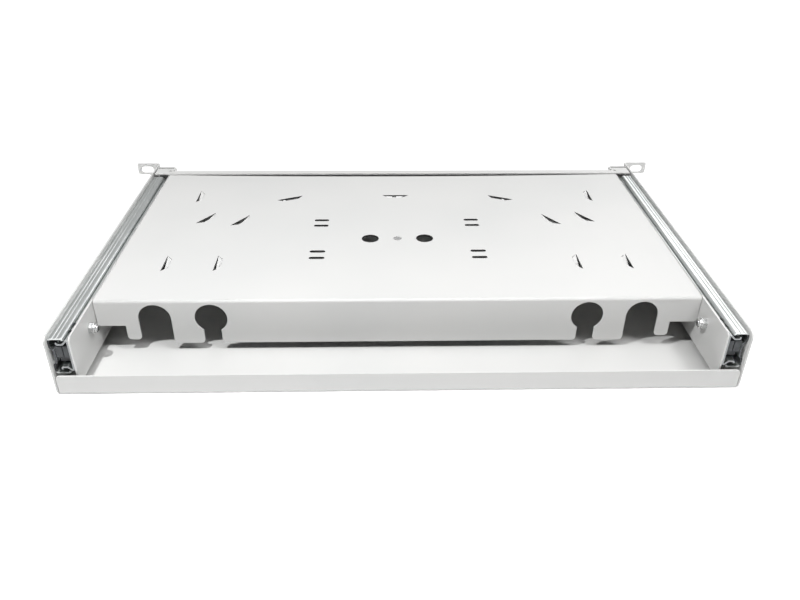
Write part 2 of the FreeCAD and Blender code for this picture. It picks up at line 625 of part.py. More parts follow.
def guide_shapes(x, y, angle):
    """Opening and tongue of one lanced fibre guide.

    The long side lies away from the stud and the tongue slopes down from its front end.
    """
    turn = math.radians(angle)
    along = (math.cos(turn), math.sin(turn))
    if along[1] > 0.01:
        along = (-along[0], -along[1])
    inward = (-along[1], along[0])
    if inward[0] * (0 - x) + inward[1] * (ROUND_HOLE_Y - y) < 0:
        inward = (-inward[0], -inward[1])

    def spot(s, t, z):
        return (x + along[0] * s + inward[0] * t, y + along[1] * s + inward[1] * t, z)

    half, tip = GUIDE_LENGTH / 2, GUIDE_TIP_LENGTH / 2
    z = TRAY_FLOOR - 1
    opening = polygon([spot(-half, 0, z), spot(half, 0, z), spot(tip, GUIDE_DEPTH, z), spot(-tip, GUIDE_DEPTH, z)])
    opening = opening.extrude(Vector(0, 0, SHEET + 2))
    near, far = GUIDE_CUT, GUIDE_DEPTH - GUIDE_CUT
    low = TRAY_FLOOR - GUIDE_DROP - 1
    plan = polygon([spot(-half - SHEET, near, low), spot(half - 2 * GUIDE_CUT, near, low),
                    spot(tip - GUIDE_CUT, far, low), spot(-tip - SHEET, far, low)])
    plan = plan.extrude(Vector(0, 0, GUIDE_DROP + SHEET + 2))
    slope = polygon([spot(-half - SHEET, 0, TRAY_TOP), spot(-half, 0, TRAY_TOP), spot(half, 0, TRAY_TOP - GUIDE_DROP),
                     spot(half, 0, TRAY_FLOOR - GUIDE_DROP), spot(-half, 0, TRAY_FLOOR),
                     spot(-half - SHEET, 0, TRAY_FLOOR)])
    slope = slope.extrude(Vector(inward[0] * GUIDE_DEPTH, inward[1] * GUIDE_DEPTH, 0))
    return opening, slope.common(plan)


def tray_floor():
    """Flat of the tray between the side bends, with a slightly bowed front edge."""
    half = TRAY_OUT - BEND_OUT
    rear = SKIRT_Y + BEND_OUT
    left = Vector(-half, TRAY_PLATE_END, TRAY_FLOOR)
    right = Vector(half, TRAY_PLATE_END, TRAY_FLOOR)
    bow = Part.Arc(left, Vector(0, TRAY_PLATE_END - TRAY_PLATE_BOW, TRAY_FLOOR), right).toShape()
    rest = Part.makePolygon([right, Vector(half, rear, TRAY_FLOOR), Vector(-half, rear, TRAY_FLOOR), left])
    return Part.Face(Part.Wire([bow] + rest.Edges)).extrude(Vector(0, 0, SHEET))


def tray_side(side):
    """Side wall with its bend to the floor and a front flange for the panel."""
    path = [(side * (TRAY_OUT - BEND_OUT - SHEET), TRAY_TOP), (side * TRAY_OUT, TRAY_TOP), (side * TRAY_OUT, TRAY_SIDE_BOTTOM)]
    bend = sheet(path, [BEND_OUT], -side * SHEET, lambda p: (p[0], SKIRT_Y + BEND_OUT, p[1]),
                 (0, TRAY_PLATE_END - SKIRT_Y - BEND_OUT, 0))
    top = TRAY_TOP - SHEET
    rear = box(side * TRAY_OUT, side * TRAY_IN, SLIDE_REAR, SKIRT_Y + BEND_OUT + 1, TRAY_SIDE_BOTTOM, TRAY_TOP)
    rear = rear.makeFillet(TRAY_CORNER_RADIUS, [
        e for e in rear.Edges if abs(e.Length - SHEET) < 0.01 and abs(e.Vertexes[0].Y - SLIDE_REAR) < 0.01])
    front_path = [(side * TRAY_OUT, TRAY_PLATE_END - 1), (side * TRAY_OUT, TRAY_FRONT),
                  (side * (TRAY_OUT - TRAY_FLANGE), TRAY_FRONT)]
    front = sheet(front_path, [BEND_OUT], side * SHEET, lambda p: (p[0], p[1], TRAY_SIDE_BOTTOM),
                  (0, 0, top - TRAY_SIDE_BOTTOM))
    wall = fuse([bend, rear, front])
    for y in slide_fixing_places():
        wall = wall.cut(rod((side * (TRAY_IN - 1), y, SLIDE_CENTRE_Z), (side, 0, 0),
                            SCREW_RADIUS + FIT, SHEET + 2))
    for z in PANEL_SCREW_Z:
        wall = wall.cut(rod((side * PANEL_SCREW_X, TRAY_FRONT - SHEET - 1, z), (0, 1, 0),
                            PANEL_SCREW_RADIUS + FIT, SHEET + 2))
    return wall


def drawer_tray():
    tray = fuse([tray_floor(), skirt(), tray_side(-1), tray_side(1)])
    cuts = []
    tabs = []
    for side in (-1, 1):
        cuts.append(rod((side * ROUND_HOLE_X, ROUND_HOLE_Y, TRAY_FLOOR - 1), (0, 0, 1),
                        ROUND_HOLE_RADIUS, SHEET + 2))
        for y in TIE_SLOT_ROWS:
            cuts.append(tie_slot(side * TIE_SLOT_X, y))
        for x, y, angle in GUIDES:
            opening, tab = guide_shapes(side * x, y, side * angle)
            cuts.append(opening)
            tabs.append(tab)
    opening, tab = guide_shapes(0, GUIDE_MIDDLE_Y, 180)
    cuts.append(opening)
    tabs.append(tab)
    cuts.append(rod((0, ROUND_HOLE_Y, TRAY_FLOOR - 1), (0, 0, 1), STUD_HEAD_RADIUS, SHEET + 2))
    tray = tray.cut(Part.makeCompound(cuts))
    return fuse([tray] + tabs)


def cassette_stud():
    """Clinch stud, its head flush with the tray floor, that carries the splice cassettes."""
    head = rod((0, ROUND_HOLE_Y, TRAY_FLOOR), (0, 0, 1), STUD_HEAD_RADIUS, SHEET)
    shank = rod((0, ROUND_HOLE_Y, TRAY_TOP - STUD_LENGTH), (0, 0, 1), STUD_RADIUS, STUD_LENGTH)
    stud = fuse([head, shank])
    tip = [e for e in stud.Edges if len(e.Vertexes) == 1 and abs(e.Vertexes[0].Z - TRAY_TOP + STUD_LENGTH) < 0.01]
    return stud.makeChamfer(0.6, tip)


# Front panel of the drawer

def plate_centres():
    return [PLATE_PITCH * (i - (PLATE_COUNT - 1) / 2) for i in range(PLATE_COUNT)]


def push_rivet_places():
    margin = (PLATE_WIDTH + WINDOW_WIDTH) / 4
    places = []
    for centre in plate_centres():
        places += [(centre - margin, PLATE_CENTRE_Z), (centre + margin, PLATE_CENTRE_Z)]
    return places


def front_panel():
    """Folded front: set-back middle face, two proud end faces and a rear-facing top flange."""
    path = [(-PANEL_OUT, PANEL_END_Y), (-PANEL_END_X, PANEL_END_Y), (-PANEL_END_X, PANEL_FACE_Y),
            (PANEL_END_X, PANEL_FACE_Y), (PANEL_END_X, PANEL_END_Y), (PANEL_OUT, PANEL_END_Y)]
    radii = [BEND_OUT, BEND_INSIDE, BEND_INSIDE, BEND_OUT]
    face = sheet(path, radii, -SHEET, lambda p: (p[0], p[1], PANEL_BOTTOM), (0, 0, PANEL_END_TOP - PANEL_BOTTOM))
    face = face.cut(box(-PANEL_END_X, PANEL_END_X, STRIP_REAR, PANEL_END_Y + 1, PANEL_TOP, PANEL_END_TOP + 1))
    low = PANEL_TOP - SHEET
    strip = [box(-PANEL_OUT, PANEL_OUT, STRIP_REAR, PANEL_FACE_Y - SHEET / 2, low, PANEL_TOP)]
    for side in (-1, 1):
        strip.append(box(side * (PANEL_END_X - SHEET / 2), side * PANEL_OUT, PANEL_FACE_Y - SHEET, PANEL_END_Y - SHEET / 2,
                         low, PANEL_TOP))
    panel = fuse([face] + strip)
    for side in (-1, 1):
        panel = panel.cut(rod((side * PANEL_TAB_HOLE_X, PANEL_TAB_HOLE_Y, low - 1), (0, 0, 1),
                              PANEL_TAB_HOLE_RADIUS, SHEET + 2))
        panel = panel.cut(rod((side * LATCH_X, PANEL_END_Y - SHEET - 1, LATCH_Z), (0, 1, 0),
                              LATCH_HOLE_RADIUS, SHEET + 2))
        for z in PANEL_SCREW_Z:
            panel = panel.cut(rod((side * PANEL_SCREW_X, PANEL_FACE_Y - SHEET - 1, z), (0, 1, 0),
                                  PANEL_SCREW_RADIUS + FIT, SHEET + 2))
    for x, z in push_rivet_places():
        panel = panel.cut(rod((x, PANEL_FACE_Y - SHEET - 1, z), (0, 1, 0), PUSH_RIVET_RADIUS + FIT, SHEET + 2))
    for centre in plate_centres():
        z0, z1 = PLATE_CENTRE_Z - WINDOW_HEIGHT / 2, PLATE_CENTRE_Z + WINDOW_HEIGHT / 2
        panel = panel.cut(box(centre - WINDOW_WIDTH / 2, centre + WINDOW_WIDTH / 2,
                              PANEL_FACE_Y - SHEET - 1, PANEL_FACE_Y + 1, z0, z1))
    return panel


def adapter_plate(centre):
    """Plate with eight adapter openings, each with two small screw holes."""
    z0, z1 = PLATE_CENTRE_Z - PLATE_HEIGHT / 2, PLATE_CENTRE_Z + PLATE_HEIGHT / 2
    plate = box(centre - PLATE_WIDTH / 2, centre + PLATE_WIDTH / 2, PANEL_FACE_Y, PANEL_FACE_Y + SHEET, z0, z1)
    plate = plate.makeFillet(1.5, [e for e in plate.Edges if abs(e.Length - SHEET) < 0.01])
    cuts = []
    for i in range(PORTS_IN_PLATE):
        x = centre + PORT_PITCH * (i - (PORTS_IN_PLATE - 1) / 2)
        cuts.append(box(x - PORT_WIDTH / 2, x + PORT_WIDTH / 2, PANEL_FACE_Y - 1, PANEL_FACE_Y + SHEET + 1,
                        PLATE_CENTRE_Z - PORT_HEIGHT / 2, PLATE_CENTRE_Z + PORT_HEIGHT / 2))
        for side in (-1, 1):
            cuts.append(rod((x, PANEL_FACE_Y - 1, PLATE_CENTRE_Z + side * PORT_HOLE_OFFSET), (0, 1, 0),
                            PORT_HOLE_RADIUS, SHEET + 2))
    for x, z in push_rivet_places():
        if abs(x - centre) < PLATE_WIDTH / 2:
            cuts.append(rod((x, PANEL_FACE_Y - 1, z), (0, 1, 0), PUSH_RIVET_RADIUS + FIT, SHEET + 2))
    return plate.cut(Part.makeCompound(cuts))


def front_pin(x, z, face_y, head_radius, head_height, shank_radius, shank_length):
    """A pin along Y: head in front of the face, shank towards the rear."""
    head = rod((x, face_y, z), (0, 1, 0), head_radius, head_height)
    shank = rod((x, face_y, z), (0, -1, 0), shank_radius, shank_length)
    pin = fuse([head, shank])
    rims = [e for e in pin.Edges if len(e.Vertexes) == 1 and abs(e.Vertexes[0].Y - face_y - head_height) < 0.01]
    return pin.makeFillet(head_height * 0.6, rims)


def adapter_plate_rivets():
    face = PANEL_FACE_Y + SHEET
    return Part.makeCompound([
        front_pin(x, z, face, PUSH_RIVET_HEAD_RADIUS, PUSH_RIVET_HEAD_HEIGHT,
                  PUSH_RIVET_RADIUS, 2 * SHEET + PUSH_RIVET_TAIL)
        for x, z in push_rivet_places()])


def panel_screws():
    length = 2 * SHEET + PANEL_NUT_HEIGHT + SCREW_PROUD
    return Part.makeCompound([
        front_pin(side * PANEL_SCREW_X, z, PANEL_FACE_Y, PANEL_SCREW_HEAD_RADIUS, PANEL_SCREW_HEAD_HEIGHT,
                  PANEL_SCREW_RADIUS, length)
        for side in (-1, 1) for z in PANEL_SCREW_Z])


def panel_nuts():
    nuts = []
    back = TRAY_FRONT - SHEET
    corner = PANEL_NUT_FLATS / 2 / math.cos(math.pi / 6)
    for side in (-1, 1):
        for z in PANEL_SCREW_Z:
            spots = []
            for i in range(6):
                angle = math.radians(60 * i)
                spots.append((side * PANEL_SCREW_X + corner * math.cos(angle), back, z + corner * math.sin(angle)))
            nut = polygon(spots).extrude(Vector(0, -PANEL_NUT_HEIGHT, 0))
            bore = rod((side * PANEL_SCREW_X, back + 1, z), (0, -1, 0), PANEL_SCREW_RADIUS + FIT, PANEL_NUT_HEIGHT + 2)
            nuts.append(nut.cut(bore))
    return Part.makeCompound(nuts)


# Latches, drawn on the +X side and mirrored

def latch_grommet():
    """Nylon bush pressed into the end face; its split nose passes through the keeper."""
    flange = rod((LATCH_X, PANEL_END_Y, LATCH_Z), (0, 1, 0), LATCH_FLANGE_RADIUS, LATCH_FLANGE_HEIGHT)
    barrel = rod((LATCH_X, PANEL_END_Y, LATCH_Z), (0, -1, 0), LATCH_HOLE_RADIUS, SHEET)
    nose = rod((LATCH_X, PANEL_END_Y, LATCH_Z), (0, -1, 0), LATCH_NOSE_RADIUS, PANEL_END_Y - LATCH_NOSE_END)
    body = fuse([flange, barrel, nose])
    rims = [e for e in body.Edges if len(e.Vertexes) == 1
            and (abs(e.Vertexes[0].Y - LATCH_NOSE_END) < 0.01
                 or abs(e.Vertexes[0].Y - PANEL_END_Y - LATCH_FLANGE_HEIGHT) < 0.01)]
    body = body.makeFillet(0.7, rims)
    bore = rod((LATCH_X, LATCH_NOSE_END - 1, LATCH_Z), (0, 1, 0), LATCH_PIN_RADIUS + LATCH_PIN_FIT,
               PANEL_END_Y - LATCH_NOSE_END + LATCH_FLANGE_HEIGHT + 2)
    return body.cut(bore)


def latch_plunger():
    """Pin that spreads the nose, with a round knob to pull."""
    face = PANEL_END_Y + LATCH_FLANGE_HEIGHT + RUNNING_GAP
    pin_end = LATCH_NOSE_END + 0.4
    pin = rod((LATCH_X, pin_end, LATCH_Z), (0, 1, 0), LATCH_PIN_RADIUS, face - pin_end)
    knob = rod((LATCH_X, face, LATCH_Z), (0, 1, 0), LATCH_KNOB_RADIUS, LATCH_KNOB_LENGTH)
    body = fuse([pin, knob])
    rims = [e for e in body.Edges if len(e.Vertexes) == 1
            and abs(e.Length - 2 * math.pi * LATCH_KNOB_RADIUS) < 0.01]
    return body.makeFillet(0.9, rims)


def latch_keeper():
    """Angle on the chassis floor that holds the latch nose."""
    x0 = LATCH_X - KEEPER_WIDTH / 2
    path = [(KEEPER_Y - KEEPER_FOOT, SHEET), (KEEPER_Y, SHEET), (KEEPER_Y, SHEET + KEEPER_HEIGHT)]
    body = sheet(path, [KEEPER_THICKNESS + BEND_INSIDE], KEEPER_THICKNESS,
                 lambda p: (x0, p[0], p[1]), (KEEPER_WIDTH, 0, 0))
    hole = rod((LATCH_X, KEEPER_Y - KEEPER_THICKNESS - 1, LATCH_Z), (0, 1, 0),
               LATCH_NOSE_RADIUS + KEEPER_CLEARANCE, KEEPER_THICKNESS + 2)
    return body.cut(hole)


def export(name, shape):
    shape = place(shape)
    shape.exportStep("parts/" + name + ".step")
    print(name, len(shape.Solids), round(shape.Volume, 1), shape.isValid())


def export_pair(name, shape):
    export(name + "_left", mirrored(shape))
    export(name + "_right", shape)


def main():
    os.makedirs("parts", exist_ok=True)
    export("chassis_shell", chassis_shell())
    export_pair("slide_outer", slide_outer())
    export_pair("slide_rivets", slide_rivets())
    export_pair("slide_bumper", slide_bumper())
    export_pair("latch_keeper", latch_keeper())
    export_pair("ball_cage", ball_cage())
    export_pair("slide_balls", slide_balls())
    export_pair("slide_inner", slide_inner())
    export_pair("slide_screws", slide_screws())
    export_pair("slide_nuts", slide_nuts())
    export("drawer_tray", drawer_tray())
    export("cassette_stud", cassette_stud())
    export("front_panel", front_panel())
    for name, centre in zip(("left", "middle", "right"), plate_centres()):
        export("adapter_plate_" + name, adapter_plate(centre))
    export("adapter_plate_rivets", adapter_plate_rivets())
    export("panel_screws", panel_screws())
    export("panel_nuts", panel_nuts())
    export_pair("latch_grommet", latch_grommet())
    export_pair("latch_plunger", latch_plunger())


if __name__ == "__main__":
    main()
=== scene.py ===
import json
import math

import bpy
from mathutils import Matrix, Vector

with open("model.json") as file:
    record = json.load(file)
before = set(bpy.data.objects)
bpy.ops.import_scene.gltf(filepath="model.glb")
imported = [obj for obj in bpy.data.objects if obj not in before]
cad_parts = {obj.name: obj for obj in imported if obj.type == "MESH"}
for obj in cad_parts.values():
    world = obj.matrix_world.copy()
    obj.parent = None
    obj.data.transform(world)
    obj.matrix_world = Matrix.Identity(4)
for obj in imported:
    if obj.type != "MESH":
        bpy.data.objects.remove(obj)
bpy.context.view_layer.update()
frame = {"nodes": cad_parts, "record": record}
nodes = frame["nodes"]

# Camera, solved from the rack sizes and the outline in the photograph

IMAGE_WIDTH = 800
FOCAL_PIXELS = 754.2
SENSOR_WIDTH = 36.0
CAMERA_SPOT = (-0.0135, -0.5328, 0.3075)
CAMERA_PITCH = math.radians(31.55)
CAMERA_YAW = math.radians(1.737)
CAMERA_ROLL = math.radians(0.516)
CLIP_NEAR = 0.01
CLIP_FAR = 20.0

# Colours of the finishes, and of the painted shade in openings and on end faces

WHITE = (1.0, 1.0, 1.0)
PAINT_COLOUR = (0.60, 0.60, 0.592)
PAINT_SHADE = (0.575, 0.578, 0.572)
# Near black painted into the guide openings and sunk tongues as their shade
OPENING_SHADOW_COLOUR = (0.03, 0.03, 0.03)
# Darker grey painted on the rear of the panel's end faces as their shade
END_BAR_SHADOW_COLOUR = (0.27, 0.27, 0.268)
ZINC_COLOUR = (0.71, 0.73, 0.725)
ZINC_SHADE = (0.60, 0.625, 0.62)
STREAK_SHADE = (0.7, 0.7, 0.7)
# Dark greys painted on the rear ends of the slide members as their shade
OUTER_END_SHADE_COLOUR = (0.09, 0.095, 0.10)
INNER_END_SHADE_COLOUR = (0.26, 0.27, 0.275)
CAGE_COLOUR = (0.46, 0.49, 0.50)
CAGE_SHADE = (0.34, 0.36, 0.37)
STEEL_COLOUR = (0.74, 0.74, 0.73)
STEEL_SHADE = (0.58, 0.59, 0.60)
BALL_COLOUR = (0.82, 0.82, 0.81)
BALL_SHADE = (0.68, 0.68, 0.68)
BUMPER_COLOUR = (0.06, 0.065, 0.07)
BUMPER_SHADE = (0.035, 0.038, 0.042)
LATCH_COLOUR = (0.025, 0.025, 0.026)
LATCH_SHADE = (0.012, 0.012, 0.012)
FLOOR_COLOUR = (0.85, 0.85, 0.85)

# Roughness and streaks of the zinc

ZINC_ROUGHNESS = 0.30
CAGE_ROUGHNESS = 0.36
STREAK_STRETCH = 0.02
STREAK_SHARE = 0.35

# Region of the fibre guides in the drawer's floor, where their openings get painted shade, in metres,
# with +Y to the front

GUIDES_HALF_WIDTH = 0.190
GUIDES_MIDDLE = 0.0155
GUIDES_HALF_DEPTH = 0.0745
GUIDES_LOWEST = 0.030
OUTER_COLUMNS = 0.1285
FAR_ROW = 0.0655
FAR_ROW_HALF_WIDTH = 0.110
FLOOR_SKIN = 0.00007

# Rise of the panel's end faces over its flange, where their painted shade starts, and the lips at the
# top and bottom of a slide's rear end that are left out of its painted shade

END_BAR_RISE = 0.001
END_SHADE_LIP = 0.0015

# Limits of a face's normal, for the masks of painted shade

STEEP_SLOPE = 0.5
HINGE_FACING = 0.62
TONGUE_SLOPE = 0.2
BAR_FACING = -0.5
END_SHADE_FACING = -0.8

# Rounding of the sheet edges

EDGE_SOFTNESS = 0.00012
EDGE_SEGMENTS = 2
SHARP_ANGLE = math.radians(50)
WELD_DISTANCE = 1e-6

# Surroundings: what the camera sees of them is white, what they light is little

WORLD_LIGHT = 0.01
FLOOR_LIGHT = 0.12
MIRRORED_SHARE = 0.55
FLOOR_REACH = 6.0
FLOOR_GLOW_NEAR = 0.34
FLOOR_GLOW_FAR = 1.0
GLOW_START = 0.4
GLOW_END = 1.1

# Sockets of a colour mix, which share their names with those of its other types

MIX_FIRST = 6
MIX_SECOND = 7
MIX_RESULT = 2


def new_material(name):
    material = bpy.data.materials.new(name)
    material.use_nodes = True
    tree = material.node_tree
    tree.nodes.clear()
    output = tree.nodes.new("ShaderNodeOutputMaterial")
    shader = tree.nodes.new("ShaderNodeBsdfPrincipled")
    tree.links.new(shader.outputs["BSDF"], output.inputs["Surface"])
    return material, tree, shader


def put(tree, socket, value):
    """Joins a socket to another one, or gives it a number, a vector or a colour."""
    if isinstance(value, bpy.types.NodeSocket):
        tree.links.new(value, socket)
    else:
        socket.default_value = value


def add_node(tree, kind, settings=None, **inputs):
    """A node with some properties set, and inputs given by name, with _ for a space."""
    node = tree.nodes.new(kind)
    for key, value in (settings or {}).items():
        setattr(node, key, value)
    for key, value in inputs.items():
        put(tree, node.inputs[key.replace("_", " ")], value)
    return node


def object_point(tree, scale=(1, 1, 1)):
    """Position on the piece, in metres, stretched by scale."""
    spot = add_node(tree, "ShaderNodeTexCoord")
    mapping = add_node(tree, "ShaderNodeMapping", Vector=spot.outputs["Object"], Scale=scale)
    return mapping.outputs["Vector"]


def noise(tree, point, scale, detail, roughness=0.5):
    made = add_node(tree, "ShaderNodeTexNoise", Vector=point, Scale=scale, Detail=detail,
                    Roughness=roughness)
    return made.outputs["Fac"]


def ramp(tree, value, low, high, low_colour, high_colour):
    """The low colour up to the value low, the high colour from high on, and a blend between."""
    made = add_node(tree, "ShaderNodeValToRGB", Fac=value)
    stops = made.color_ramp.elements
    stops[0].position, stops[1].position = low, high
    stops[0].color, stops[1].color = (*low_colour, 1), (*high_colour, 1)
    return made.outputs["Color"]


def spread(tree, value, low, high, start=0.0, end=1.0):
    """A value from start to end, turned into one from low to high."""
    made = add_node(tree, "ShaderNodeMapRange", Value=value, From_Min=start, From_Max=end,
                    To_Min=low, To_Max=high)
    return made.outputs["Result"]


def bump(tree, height, strength, distance, before=None):
    made = add_node(tree, "ShaderNodeBump", Height=height, Strength=strength, Distance=distance)
    if before is not None:
        put(tree, made.inputs["Normal"], before)
    return made.outputs["Normal"]


def math_node(tree, operation, *values):
    made = add_node(tree, "ShaderNodeMath", {"operation": operation})
    for socket, value in zip(made.inputs, values):
        put(tree, socket, value)
    return made.outputs[0]


def mix_colours(tree, share, first, second, blend="MIX"):
    mixed = add_node(tree, "ShaderNodeMix", {"data_type": "RGBA", "blend_type": blend}, Factor=share)
    put(tree, mixed.inputs[MIX_FIRST], first)
    put(tree, mixed.inputs[MIX_SECOND], second)
    return mixed.outputs[MIX_RESULT]


def split(tree, vector):
    """The X, Y and Z of a vector."""
    made = add_node(tree, "ShaderNodeSeparateXYZ", Vector=vector)
    return [made.outputs[axis] for axis in ("X", "Y", "Z")]


def face_direction(tree):
    """The X, Y and Z of the flat face's normal."""
    made = add_node(tree, "ShaderNodeNewGeometry")
    return split(tree, made.outputs["True Normal"])


def height_range(name):
    """Lowest and highest Z of a CAD node."""
    heights = [corner[2] for corner in nodes[name].bound_box]
    return min(heights), max(heights)


def painted_opening_shade(tree):
    """Painted shade: 1 on the punched walls of the fibre guides and the sunk tongues of the far row,
    where shade falls, else 0.
    """
    x, y, z = split(tree, object_point(tree))
    facing, slope = face_direction(tree)[1:]
    outward = math_node(tree, "ABSOLUTE", x)
    floor_top = height_range("drawer_tray")[1] - FLOOR_SKIN
    in_region = math_node(tree, "MULTIPLY", math_node(tree, "COMPARE", x, 0.0, GUIDES_HALF_WIDTH),
                          math_node(tree, "COMPARE", y, GUIDES_MIDDLE, GUIDES_HALF_DEPTH))
    in_region = math_node(tree, "MULTIPLY", in_region,
                          math_node(tree, "GREATER_THAN", z, GUIDES_LOWEST))
    steep = math_node(tree, "LESS_THAN", math_node(tree, "ABSOLUTE", slope), STEEP_SLOPE)
    outer = math_node(tree, "GREATER_THAN", outward, OUTER_COLUMNS)
    hinge = math_node(tree, "GREATER_THAN", math_node(tree, "ABSOLUTE", facing), HINGE_FACING)
    steep = math_node(tree, "SUBTRACT", steep, math_node(tree, "MULTIPLY", outer, hinge))
    upward = math_node(tree, "GREATER_THAN", slope, TONGUE_SLOPE)
    sunk = math_node(tree, "MULTIPLY", upward, math_node(tree, "LESS_THAN", z, floor_top))
    far_row = math_node(tree, "MULTIPLY", math_node(tree, "GREATER_THAN", y, FAR_ROW),
                        math_node(tree, "COMPARE", x, 0.0, FAR_ROW_HALF_WIDTH))
    tongue = math_node(tree, "MULTIPLY", sunk, far_row)
    return math_node(tree, "MULTIPLY", in_region, math_node(tree, "MAXIMUM", steep, tongue))


def end_bar_painted_shade(tree):
    """Painted shade: 1 on the rear of the panel's end faces, above its flange, which face away from
    the lamps, else 0.
    """
    height = split(tree, object_point(tree))[2]
    flange_top = height_range("front_panel")[1] - END_BAR_RISE
    backward = math_node(tree, "LESS_THAN", face_direction(tree)[1], BAR_FACING)
    return math_node(tree, "MULTIPLY", backward, math_node(tree, "GREATER_THAN", height, flange_top))


def painted_end_shade(tree, lip):
    """Painted shade: 1 on the rear end of a slide member, but for a lip at its top and bottom, else 0.
    """
    low, high = height_range("slide_outer_left")
    middle = (low + high) / 2
    half = (high - low) / 2 - lip
    backward = math_node(tree, "LESS_THAN", face_direction(tree)[1], END_SHADE_FACING)
    height = split(tree, object_point(tree))[2]
    return math_node(tree, "MULTIPLY", backward, math_node(tree, "COMPARE", height, middle, half))


def painted_sheet(name, shade=None, dark=OPENING_SHADOW_COLOUR):
    """Light grey powder coat: satin, with fine orange peel and faint cloudiness, and painted shade
    where a given mask is 1.
    """
    material, tree, shader = new_material(name)
    point = object_point(tree)
    clouds = noise(tree, point, scale=9.0, detail=2.0)
    colour = ramp(tree, clouds, 0.35, 0.65, PAINT_SHADE, PAINT_COLOUR)
    # Painted shade, mixed in where the mask is 1
    if shade:
        colour = mix_colours(tree, shade(tree), colour, (*dark, 1))
    put(tree, shader.inputs["Base Color"], colour)
    grain = noise(tree, point, scale=1400.0, detail=2.0)
    put(tree, shader.inputs["Roughness"], spread(tree, grain, low=0.38, high=0.52))
    waves = noise(tree, point, scale=14.0, detail=1.0)
    peel = noise(tree, point, scale=520.0, detail=3.0, roughness=0.6)
    wavy = bump(tree, waves, strength=0.25, distance=0.0006)
    put(tree, shader.inputs["Normal"], bump(tree, peel, strength=0.16, distance=0.00012, before=wavy))
    shader.inputs["Specular IOR Level"].default_value = 0.45
    return material


def zinc_sheet(name, colour, shade, roughness, end_shade_colour=None, lip=0.0):
    """Bright zinc on rolled steel: long fine streaks along the strip, with painted shade on the rear
    end.
    """
    material, tree, shader = new_material(name)
    shader.inputs["Metallic"].default_value = 1.0
    streaks = noise(tree, object_point(tree, (1, STREAK_STRETCH, 1)), scale=1800.0, detail=3.0)
    clouds = noise(tree, object_point(tree), scale=60.0, detail=3.0)
    tint = ramp(tree, clouds, 0.3, 0.7, shade, colour)
    lines = ramp(tree, streaks, 0.25, 0.75, STREAK_SHADE, WHITE)
    surface = mix_colours(tree, STREAK_SHARE, tint, lines, "MULTIPLY")
    # Painted shade on the rear end face
    if end_shade_colour:
        surface = mix_colours(tree, painted_end_shade(tree, lip), surface, (*end_shade_colour, 1))
    put(tree, shader.inputs["Base Color"], surface)
    sheen = spread(tree, streaks, low=roughness - 0.08, high=roughness + 0.12)
    put(tree, shader.inputs["Roughness"], sheen)
    put(tree, shader.inputs["Normal"], bump(tree, streaks, strength=0.12, distance=0.00008))
    return material


def zinc_fixing():
    """Turned and plated steel of screws, nuts and rivets."""
    material, tree, shader = new_material("zinc_fixing")
    shader.inputs["Metallic"].default_value = 1.0
    point = object_point(tree)
    clouds = noise(tree, point, scale=350.0, detail=3.0)
    put(tree, shader.inputs["Base Color"], ramp(tree, clouds, 0.3, 0.7, STEEL_SHADE, STEEL_COLOUR))
    put(tree, shader.inputs["Roughness"], spread(tree, clouds, low=0.18, high=0.34))
    fine = noise(tree, point, scale=2600.0, detail=2.0)
    put(tree, shader.inputs["Normal"], bump(tree, fine, strength=0.2, distance=0.00006))
    return material


def ball_steel():
    """Polished steel with a faint haze."""
    material, tree, shader = new_material("ball_steel")
    shader.inputs["Metallic"].default_value = 1.0
    haze = noise(tree, object_point(tree), scale=900.0, detail=2.0)
    put(tree, shader.inputs["Base Color"], ramp(tree, haze, 0.3, 0.7, BALL_SHADE, BALL_COLOUR))
    put(tree, shader.inputs["Roughness"], spread(tree, haze, low=0.06, high=0.16))
    return material


def moulded_plastic(name, shade, colour):
    """Moulded plastic with a fine spark-eroded texture."""
    material, tree, shader = new_material(name)
    point = object_point(tree)
    clouds = noise(tree, point, scale=260.0, detail=3.0)
    put(tree, shader.inputs["Base Color"], ramp(tree, clouds, 0.3, 0.7, shade, colour))
    put(tree, shader.inputs["Roughness"], spread(tree, clouds, low=0.42, high=0.6))
    grain = noise(tree, point, scale=2400.0, detail=2.0)
    put(tree, shader.inputs["Normal"], bump(tree, grain, strength=0.25, distance=0.00006))
    return material


def dress():
    """Gives every CAD node the material of its record slot, or its own kind of it."""
    made = {
        "painted_sheet": painted_sheet("painted_sheet"),
        "painted_tray": painted_sheet("painted_tray", painted_opening_shade),
        "painted_panel": painted_sheet("painted_panel", end_bar_painted_shade, END_BAR_SHADOW_COLOUR),
        "zinc_slide": zinc_sheet("zinc_slide", ZINC_COLOUR, ZINC_SHADE, ZINC_ROUGHNESS,
                                 OUTER_END_SHADE_COLOUR, END_SHADE_LIP),
        "zinc_inner": zinc_sheet("zinc_inner", ZINC_COLOUR, ZINC_SHADE, ZINC_ROUGHNESS,
                                 INNER_END_SHADE_COLOUR),
        "zinc_cage": zinc_sheet("zinc_cage", CAGE_COLOUR, CAGE_SHADE, CAGE_ROUGHNESS),
        "zinc_fixing": zinc_fixing(),
        "ball_steel": ball_steel(),
        "bumper_plastic": moulded_plastic("bumper_plastic", BUMPER_SHADE, BUMPER_COLOUR),
        "latch_plastic": moulded_plastic("latch_plastic", LATCH_SHADE, LATCH_COLOUR),
    }
    own = {"drawer_tray": "painted_tray", "front_panel": "painted_panel",
           "slide_inner_left": "zinc_inner", "slide_inner_right": "zinc_inner"}
    for part in frame["record"]["subparts"]:
        node = nodes[part["node"]]
        node.data.materials.clear()
        node.data.materials.append(made[own.get(part["node"], part["material_slot"])])


